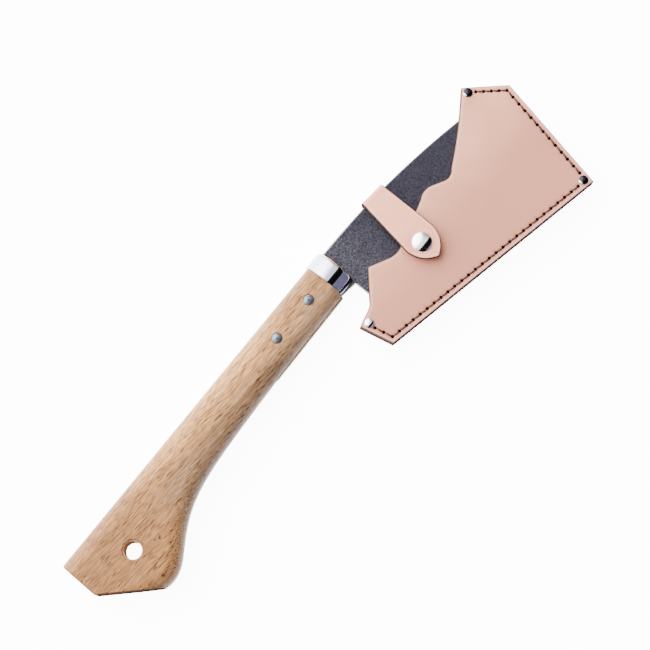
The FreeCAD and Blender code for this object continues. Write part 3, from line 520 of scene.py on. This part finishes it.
def inset(loop, distance):
    """The loop moved inwards; corners keep at most 1.4 times the distance."""
    before = loop - np.roll(loop, 1, axis=0)
    after = np.roll(loop, -1, axis=0) - loop
    normals = []
    for side in (before, after):
        side = side / np.maximum(np.linalg.norm(side, axis=1, keepdims=True), 1e-9)
        normals.append(np.stack([-side[:, 1], side[:, 0]], axis=1))
    middle = normals[0] + normals[1]
    middle /= np.maximum(np.linalg.norm(middle, axis=1, keepdims=True), 1e-9)
    share = np.clip((middle * normals[0]).sum(axis=1, keepdims=True), 1 / 1.4, 1.0)
    return loop + middle * distance / share


def distance_to_path(points, path, closed=False):
    """Distance of each point from a line of straight pieces."""
    ends = np.roll(path, -1, axis=0) if closed else path[1:]
    starts = path if closed else path[:-1]
    best = np.full(len(points), 1e9)
    for start, end in zip(starts, ends):
        side = end - start
        share = np.clip((points - start) @ side / max(side @ side, 1e-12), 0, 1)
        best = np.minimum(best, np.linalg.norm(points - start - share[:, None] * side, axis=1))
    return best


def inside(points, loop):
    """True for each point within the loop."""
    result = np.zeros(len(points), bool)
    x, y = points[:, 0], points[:, 1]
    for start, end in zip(loop, np.roll(loop, -1, axis=0)):
        if start[1] == end[1]:
            continue
        crosses = (start[1] > y) != (end[1] > y)
        at_x = start[0] + (y - start[1]) * (end[0] - start[0]) / (end[1] - start[1])
        result ^= crosses & (x < at_x)
    return result


def ripple(points, seed):
    """Gentle hand-cut unevenness between -1 and 1; the seed only shifts it along."""
    x, y = points[:, 0] + seed * 17.3, points[:, 1] - seed * 9.1
    return (np.sin(x * 0.071 + 1.3) * np.cos(y * 0.093 + 0.4) * 0.6
            + np.sin(x * 0.19 - y * 0.13 + 2.1) * 0.25 + np.cos(x * 0.31 + y * 0.27) * 0.15)


# ---------------------------------------------------------------- leather plates

def add_object(name, data):
    """A new object that shows this mesh or camera."""
    thing = bpy.data.objects.new(name, data)
    bpy.context.scene.collection.objects.link(thing)
    return thing


def make_piece(name, vertices, faces, look, body=None, marks=None, sharp=None):
    """A smooth-shaded mesh object with its material, point attributes and CAD body.

    Edges between two points marked sharp keep a hard corner.
    """
    mesh = bpy.data.meshes.new(name)
    mesh.from_pydata([tuple(vertex) for vertex in vertices], [], faces)
    mesh.validate()
    for mark, values in (marks or {}).items():
        layer = mesh.attributes.new(mark, "FLOAT", "POINT")
        layer.data.foreach_set("value", np.asarray(values, np.float32))
    mesh.polygons.foreach_set("use_smooth", [True] * len(mesh.polygons))
    if sharp is not None:
        ends = np.zeros(len(mesh.edges) * 2, np.int32)
        mesh.edges.foreach_get("vertices", ends)
        layer = mesh.attributes.new("sharp_edge", "BOOLEAN", "EDGE")
        layer.data.foreach_set("value", sharp[ends].reshape(-1, 2).all(axis=1))
    mesh.materials.append(look)
    piece = add_object(name, mesh)
    if body is not None:
        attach(piece, body)
    return piece


def staggered_grid(outer, seams, grid):
    """Points that fill an outline, clear of it and of its seams; every second row is half a step along."""
    low_corner, high_corner = outer.min(axis=0), outer.max(axis=0)
    xs = np.arange(low_corner[0], high_corner[0], grid)
    ys = np.arange(low_corner[1], high_corner[1], grid)
    field = np.stack(np.meshgrid(xs, ys), axis=-1).reshape(-1, 2)
    field[:, 0] += (np.round(field[:, 1] / grid) % 2) * grid * 0.5
    field = field[inside(field, outer)]
    field = field[distance_to_path(field, outer, True) > CLEAR_OF_RINGS + grid * GRID_CLEARANCE]
    for path in seams:
        field = field[distance_to_path(field, np.array(path)) > max(SEAM_ROWS) + grid * GRID_CLEARANCE]
    return field


def seam_rows(outer, seams):
    """Rows of points on both sides of each seam, within the outline."""
    rows = []
    for path in seams:
        path = np.array(path)
        for start, end in zip(path[:-1], path[1:]):
            side = (end - start) / np.linalg.norm(end - start)
            across = np.array([-side[1], side[0]])
            count = int(np.linalg.norm(end - start) / SEAM_STEP)
            rows += [start + side * index * SEAM_STEP + across * shift
                     for index in range(count + 1) for shift in SEAM_ROWS]
    rows = np.array(rows)
    return rows[inside(rows, outer) & (distance_to_path(rows, outer, True) > CLEAR_OF_OUTLINE)]


def hole_rings(holes):
    """The middle of each hole and two circles round it."""
    turns = np.arange(HOLE_POINTS) * math.tau / HOLE_POINTS
    circle = np.stack([np.cos(turns), np.sin(turns)], axis=1)
    rings = []
    for hole in holes:
        rings += [np.array([hole]), np.array(hole) + circle * HOLE_RADIUS * HOLE_INNER,
                  np.array(hole) + circle * HOLE_RADIUS]
    return rings


def cut_edge_distance(flat, outer, joined):
    """Distance of each point from the outline, without the run of it that meets another length of leather."""
    if joined is None:
        return distance_to_path(flat, outer, True)
    at_joint = joined(outer)
    start = np.flatnonzero(at_joint & ~np.roll(at_joint, 1))[0]
    loop = np.roll(outer, -start, axis=0)
    return distance_to_path(flat, np.concatenate([loop[at_joint.sum() - 1:], loop[:1]]))


def leather_plate(name, loop, low, high, look, body=None, holes=(), seams=(), round_edge=0.55,
                  grid=1.5, wave=0.06, face_up=True, shape=None, seed=1, burnish=0.52, joined=None):
    """A leather piece with rounded cut edges, a sunk seam and sunk stitch holes.

    It is built flat between two levels, then shape() may bend it. round_edge, grid, wave and burnish, the
    reach of the dark edge, are in mm. joined() tells which outline points meet another length of leather.
    """
    outer = subdivide(np.array(loop), OUTLINE_STEP)
    points = [outer] + [inset(outer, distance)
                        for distance in (*RINGS_BEFORE_EDGE, round_edge, *RINGS_AFTER_EDGE)]
    if seams:
        points.append(seam_rows(outer, seams))
    points += hole_rings(holes)
    points.append(staggered_grid(outer, seams, grid))
    edges = [(index, (index + 1) % len(outer)) for index in range(len(outer))]
    made = delaunay_2d_cdt([Vector(point) for point in np.concatenate(points)], edges, [], 1, 1e-6)
    flat = np.array([point[:] for point in made[0]])
    triangles = [list(face) for face in made[2]]

    edge_distance = cut_edge_distance(flat, outer, joined)
    seam_near = np.zeros(len(flat))
    for path in seams:
        away = distance_to_path(flat, np.array(path))
        seam_near = np.maximum(seam_near, np.exp(-(away / SEAM_REACH) ** 2))
    hole_near = np.zeros(len(flat))
    for hole in holes:
        away = np.linalg.norm(flat - np.array(hole), axis=1)
        hole_near = np.maximum(hole_near, np.exp(-(away / HOLE_RADIUS) ** 4))
    rim = np.clip(edge_distance, 0, round_edge)
    drop = round_edge - np.sqrt(np.maximum(round_edge ** 2 - (round_edge - rim) ** 2, 0))
    swell = ripple(flat, seed) * wave * np.clip(edge_distance / WAVE_FADE, 0, 1)
    if face_up:
        top = high - drop - seam_near * SEAM_DEPTH - hole_near * HOLE_DEPTH + swell
        bottom = low + drop * UNDERSIDE_ROUND + np.clip(swell, None, 0)
    else:
        top = high - drop * UNDERSIDE_ROUND + np.clip(swell, 0, None)
        bottom = low + drop + seam_near * SEAM_DEPTH + hole_near * HOLE_DEPTH + swell

    count = len(flat)
    vertices = np.concatenate([np.column_stack([flat, top]), np.column_stack([flat, bottom])])
    faces = triangles + [[index + count for index in reversed(face)] for face in triangles]
    faces += [[end, start, start + count, end + count] for start, end in boundary_edges(triangles)]
    outer_face = np.repeat([1, 0] if face_up else [0, 1], count)
    # these marks colour the leather: the rim with a painted highlight, the seam groove and the holes with
    # painted shade
    marks = {
        "edge": np.tile(np.clip(EDGE_STRENGTH - edge_distance / burnish, 0, 1), 2),
        "rim": np.tile(np.exp(-((edge_distance - RIM_HIGHLIGHT_PLACE) / RIM_HIGHLIGHT_REACH) ** 2), 2) * outer_face,
        "seam": np.tile(seam_near, 2) * outer_face,
        "hole": np.tile(hole_near, 2) * outer_face,
    }
    if shape is not None:
        vertices = shape(vertices)
    sharp = None if joined is None else np.tile(joined(flat), 2)
    return make_piece(name, vertices * MM, faces, look, body, marks, sharp)


# ---------------------------------------------------------------- seam

def stitch_holes(path):
    """Evenly spaced holes along each straight run, with a hole at every corner."""
    holes = [path[0]]
    for start, end in zip(path[:-1], path[1:]):
        start, end = np.array(start), np.array(end)
        count = round(np.linalg.norm(end - start) / STITCH)
        holes += [tuple(start + (end - start) * index / count) for index in range(1, count + 1)]
    return holes


def stitch_rings(start, end, side):
    """Rings of points along one stitch, on the face of the sheath that side (1 or -1) names, in mm."""
    forward = (end - start) / np.linalg.norm(end - start)
    across = np.array([-forward[1], forward[0]])
    points = []
    for section in range(STITCH_SECTIONS):
        share = section / (STITCH_SECTIONS - 1)
        lift = math.sin(math.pi * share) ** 0.6
        sideways = (share - 0.5) * THREAD_SLANT
        centre = start + (end - start) * (STITCH_START + STITCH_REACH * share) + across * sideways
        level = THREAD_LEVEL + THREAD_RISE * lift
        thick = THREAD_RADIUS + THREAD_SWELL * lift
        for turn in range(STITCH_SIDES):
            angle = 2 * math.pi * turn / STITCH_SIDES
            spot = centre + across * math.cos(angle) * thick
            points.append((spot[0], spot[1], side * (level + math.sin(angle) * thick * THREAD_FLATNESS)))
    return points


def stitches(name, path, node):
    """Thread on both faces: each stitch rises out of one hole and dives into the next."""
    holes = stitch_holes(path)
    vertices, faces = [], []
    for side in (1, -1):
        for start, end in zip(holes[:-1], holes[1:]):
            first = len(vertices)
            vertices += stitch_rings(np.array(start), np.array(end), side)
            last = len(vertices) - STITCH_SIDES
            quads = []
            for ring in range(first, last, STITCH_SIDES):
                for turn in range(STITCH_SIDES):
                    a, b = ring + turn, ring + (turn + 1) % STITCH_SIDES
                    quads.append([a, b, b + STITCH_SIDES, a + STITCH_SIDES])
            caps = [list(range(first, first + STITCH_SIDES)),
                    list(reversed(range(last, last + STITCH_SIDES)))]
            if side > 0:
                quads = [quad[::-1] for quad in quads]
                caps = [cap[::-1] for cap in caps]
            faces += quads + caps
    piece = make_piece(name, np.array(vertices) * MM, faces, thread_look, "sheath")
    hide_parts(node)
    return holes


all_holes = stitches("stitches_front", SEAM_FRONT, "seam_thread_front")
all_holes += stitches("stitches_edge", SEAM_EDGE, "seam_thread_edge")
seam_paths = [SEAM_FRONT, SEAM_EDGE]


# ---------------------------------------------------------------- sheath

def to_strap(points):
    """Points of the row frame, in mm, in the strap's frame."""
    turned = Matrix.Rotation(-STRAP_TURN, 2)
    return (points - np.array(STRAP_PLACE)) @ np.array(turned).T


def from_strap(points):
    turned = Matrix.Rotation(STRAP_TURN, 2)
    return points @ np.array(turned).T + np.array(STRAP_PLACE)


front = leather_plate("front_leather", outline_at("front_panel", PANEL_HIGH), PANEL_LOW, PANEL_HIGH, leather,
                      "sheath", all_holes, seam_paths, seed=1)
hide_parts("front_panel")

welt = leather_plate("welt_leather", outline_at("welt", PANEL_LOW), -PANEL_LOW, PANEL_LOW, leather, "sheath",
                     round_edge=0.5, grid=1.6, wave=0.0, seed=2)
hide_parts("welt")


def on_strap(local):
    """True for places in the strap's frame across the strap's width."""
    return np.abs(local[:, 0]) < STRAP_HALF + STRAP_MARGIN


def back_outline():
    """Flat outline of the back panel, running on into the strap up to the middle of the strap's wall."""
    local = to_strap(outline_at("back_panel", -PANEL_HIGH))
    local[(local[:, 1] > 0.0) & on_strap(local), 1] = ROOT_Y + SIDE_LENGTH
    return from_strap(local)


def wrap_spine(vertices):
    """Bend what lies beyond the root of the strap up round the spine."""
    local = to_strap(vertices[:, :2])
    beyond = (local[:, 1] > ROOT_Y) & on_strap(local)
    along = np.clip(local[:, 1] - ROOT_Y, 0, None)
    angle = np.clip(along / FOLD_ROUND, 0, math.pi / 2)
    middle = -(PANEL_LOW + PANEL_HIGH) / 2
    outward = middle - vertices[:, 2]
    straight = np.clip(along - BEND_LENGTH, 0, None)
    new_y = ROOT_Y + (FOLD_ROUND + outward) * np.sin(angle)
    new_z = middle + FOLD_ROUND - (FOLD_ROUND + outward) * np.cos(angle) + straight
    bent = vertices.copy()
    bent[beyond, :2] = from_strap(np.column_stack([local[:, 0], new_y]))[beyond]
    bent[beyond, 2] = new_z[beyond]
    return bent


back = leather_plate("back_and_strap_leather", back_outline(), -PANEL_HIGH, -PANEL_LOW, leather, None,
                     all_holes, seam_paths, face_up=False, shape=wrap_spine, seed=3,
                     joined=lambda points: to_strap(points)[:, 1] > ROOT_Y + SIDE_LENGTH - JOINT_MARGIN)
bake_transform(back)
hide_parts("back_panel", "strap_bend")


# ---------------------------------------------------------------- flap of the strap

def tip_side(start, end):
    """Points of the round side of the tip, from its widest place to just before the point."""
    chord = end - start
    reach = np.linalg.norm(chord)
    side = np.array([-chord[1], chord[0]]) / reach
    centre = (start + end) / 2 + side * math.sqrt(STRAP_TIP_ROUND ** 2 - reach ** 2 / 4)
    first = math.atan2(*(start - centre)[::-1])
    last = math.atan2(*(end - centre)[::-1])
    turns = np.linspace(first, last + (2 * math.pi if last < first else 0), TIP_POINTS)
    line = centre + STRAP_TIP_ROUND * np.stack([np.cos(turns), np.sin(turns)], axis=1)
    return line[line[:, 1] > end[1] + TIP_CLEAR]


def flap_outline():
    """Flat outline: x across, y running from the middle of the wall (0) to the tip (negative)."""
    fold_end = -(WALL_LENGTH + BEND_LENGTH)
    wide = fold_end + STRAP_WIDE_Y - ROOT_Y
    tip = fold_end + STRAP_TIP_Y - ROOT_Y
    point = np.array([0.0, tip])
    rear = tip_side(np.array([-STRAP_WIDE_REAR, wide]), point)
    front_side = tip_side(np.array([-STRAP_WIDE, wide]), point)[::-1] * [-1, 1]
    blunt = np.array([[-BLUNT_HALF, tip + BLUNT_RISE], [0.0, tip], [BLUNT_HALF, tip + BLUNT_RISE]])
    return np.concatenate([
        [[STRAP_HALF, 0.0], [-STRAP_HALF, 0.0], [-STRAP_HALF, fold_end]], rear, blunt, front_side,
        [[STRAP_HALF, fold_end]]])


def flap_rise(along):
    """Level of the flap's middle surface at a distance from the fold, and its slope.

    The slope eases in, stays, and eases out into the level part under the snap.
    """
    steep, ease_in, level_at, ease_out = 0.1760, 3.0, 30.85, 4.0
    knots = np.linspace(0, 70, 1401)
    easing_in = np.clip(knots / ease_in, 0, 1)
    easing_out = np.clip((level_at + ease_out - knots) / (2 * ease_out), 0, 1)
    slope = steep * easing_in * easing_out
    rise = np.concatenate([[0], np.cumsum((slope[1:] + slope[:-1]) / 2 * np.diff(knots))])
    rise *= (SNAP_LEVEL - FOLD_LEVEL) / rise[-1]
    return FOLD_LEVEL + np.interp(along, knots, rise), np.interp(along, knots, slope)


def fold_flap(vertices):
    """Bend the flat flap: up the wall, round the fold and up the slope to the snap."""
    along = -vertices[:, 1]
    outward = vertices[:, 2]
    angle = np.clip((along - WALL_LENGTH) / FOLD_ROUND, 0, math.pi / 2)
    wall_z = np.clip(along, 0, WALL_LENGTH)
    past_fold = np.clip(along - SIDE_LENGTH, 0, None)
    centre_z, slope = flap_rise(past_fold)
    y = ROOT_Y + (FOLD_ROUND + outward) * np.cos(angle)
    z = wall_z + (FOLD_ROUND + outward) * np.sin(angle)
    flat_part = along > SIDE_LENGTH
    y = np.where(flat_part, ROOT_Y - past_fold + outward * slope, y)
    z = np.where(flat_part, centre_z + outward, z)
    return np.column_stack([from_strap(np.column_stack([vertices[:, 0], y])), z])


# the flap's wider dark edge is partly its burnished edge and partly painted shadow along its raised edge
flap = leather_plate("flap_leather", flap_outline(), -THICK / 2, THICK / 2, strap_leather, None,
                     grid=1.1, wave=0.05, shape=fold_flap, seed=4, burnish=0.60,
                     joined=lambda points: points[:, 1] > -JOINT_MARGIN)
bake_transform(flap)
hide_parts("strap_flap")


# ---------------------------------------------------------------- stage

def build_floor():
    """Plain pale floor that the object lies on; its glow does not light the object."""
    mesh = bpy.data.meshes.new("floor")
    corners = [(-1, -1), (1, -1), (1, 1), (-1, 1)]
    mesh.from_pydata([(x * FLOOR_REACH, y * FLOOR_REACH, FLOOR_LEVEL) for x, y in corners], [],
                     [(0, 1, 2, 3)])
    material, tree = new_material("pale_floor")
    cloudy = noise(tree, position(tree)[0], (1.5, 1.5, 1.5), 2.0)
    close(tree, {
        "Base Color": mix(tree, cloudy, colour(0.84, 0.84, 0.84), colour(0.86, 0.86, 0.86)),
        "Roughness": 0.9,
        "Specular IOR Level": 0.1,
        "Emission Color": WHITE,
        "Emission Strength": FLOOR_GLOW,
    })
    mesh.materials.append(material)
    floor = add_object("floor", mesh)
    floor.visible_diffuse = False


def dome():
    """Points and faces of a dome, open below, from its top down in rows."""
    points = [(0.0, 0.0, DOME_REACH)]
    for row in range(1, DOME_ROWS + 1):
        height = math.cos(DOME_ANGLE * row / DOME_ROWS) * DOME_REACH
        width = math.sqrt(DOME_REACH ** 2 - height ** 2)
        for turn in range(DOME_SIDES):
            angle = math.tau * turn / DOME_SIDES
            points.append((width * math.cos(angle), width * math.sin(angle), height))
    faces = [(0, 1 + turn, 1 + (turn + 1) % DOME_SIDES) for turn in range(DOME_SIDES)]
    for row in range(DOME_ROWS - 1):
        first = 1 + row * DOME_SIDES
        for turn in range(DOME_SIDES):
            a, b = first + turn, first + (turn + 1) % DOME_SIDES
            faces.append((a, a + DOME_SIDES, b + DOME_SIDES, b))
    return points, faces


def build_backdrop():
    """Plain pale dome that only the camera sees; the light comes through it."""
    mesh = bpy.data.meshes.new("backdrop")
    points, faces = dome()
    mesh.from_pydata(points, [], faces)
    material, tree = new_material("pale_backdrop")
    glow = put(tree, "ShaderNodeEmission", {"Color": WHITE, "Strength": DOME_GLOW})
    put(tree, "ShaderNodeOutputMaterial", {"Surface": glow.outputs[0]})
    mesh.materials.append(material)
    backdrop = add_object("backdrop", mesh)
    backdrop.visible_diffuse = backdrop.visible_glossy = backdrop.visible_transmission = False
    backdrop.visible_shadow = False


def build_studio():
    """Soft white surround: bright above and behind, a dark gap on the belly side, dimmer below it."""
    world = bpy.data.worlds.new("studio")
    world.use_nodes = True
    tree = world.node_tree
    tree.nodes.clear()
    direction = put(tree, "ShaderNodeTexCoord").outputs["Generated"]
    parts = put(tree, "ShaderNodeSeparateXYZ", {0: direction}).outputs

    # a key light beyond the spine and a weaker one overhead
    toward_key = put(tree, "ShaderNodeVectorMath", {0: direction, 1: KEY_DIRECTION.normalized()},
                     operation="DOT_PRODUCT").outputs["Value"]
    key = span(tree, toward_key, 0.50, 0.97, 0.75, 13.8)
    overhead = span(tree, parts[2], 0.60, 0.97, 0.0, 1.7)
    bright = plus(tree, key, overhead)

    # lean is the angle from straight up towards the belly side
    lean = compute(tree, "ARCTAN2", times(tree, parts[1], -1.0), parts[2])
    gap = times(tree, span(tree, lean, *GAP_START), span(tree, lean, *GAP_END, 1.0, 0.0))
    level = times(tree, bright, span(tree, gap, 0.0, 1.0, 1.0, 0.004))
    belly = span(tree, lean, *GAP_END)
    outside_belly = times(tree, compute(tree, "SUBTRACT", 1.0, belly), level)
    open_sky = plus(tree, outside_belly, times(tree, belly, 0.48))

    above = span(tree, parts[2], -0.03, 0.0)
    below = times(tree, compute(tree, "SUBTRACT", 1.0, above), 1.2)
    strength = plus(tree, times(tree, open_sky, above), below)
    tint = mix(tree, belly, colour(0.985, 0.99, 1.0), colour(0.70, 0.69, 1.0))
    background = put(tree, "ShaderNodeBackground", {"Color": tint, "Strength": strength})
    put(tree, "ShaderNodeOutputWorld", {"Surface": background.outputs[0]})
    bpy.context.scene.world = world


def build_camera():
    """Camera above the object, a little towards the picture's lower edge, and looking back at its middle."""
    turn = Matrix.Rotation(-TOOL_ANGLE, 3, "Z") @ Matrix.Rotation(CAMERA_TILT, 3, "X")
    data = bpy.data.cameras.new("camera")
    data.lens = FOCAL_LENGTH
    data.sensor_width = SENSOR_WIDTH
    data.clip_start, data.clip_end = CLIP_NEAR, CLIP_FAR
    camera = add_object("camera", data)
    place = CAMERA_AIM + turn @ Vector((0, 0, CAMERA_DISTANCE))
    camera.matrix_world = Matrix.Translation(place) @ turn.to_4x4()
    bpy.context.scene.camera = camera


build_floor()
build_backdrop()
build_studio()
build_camera()
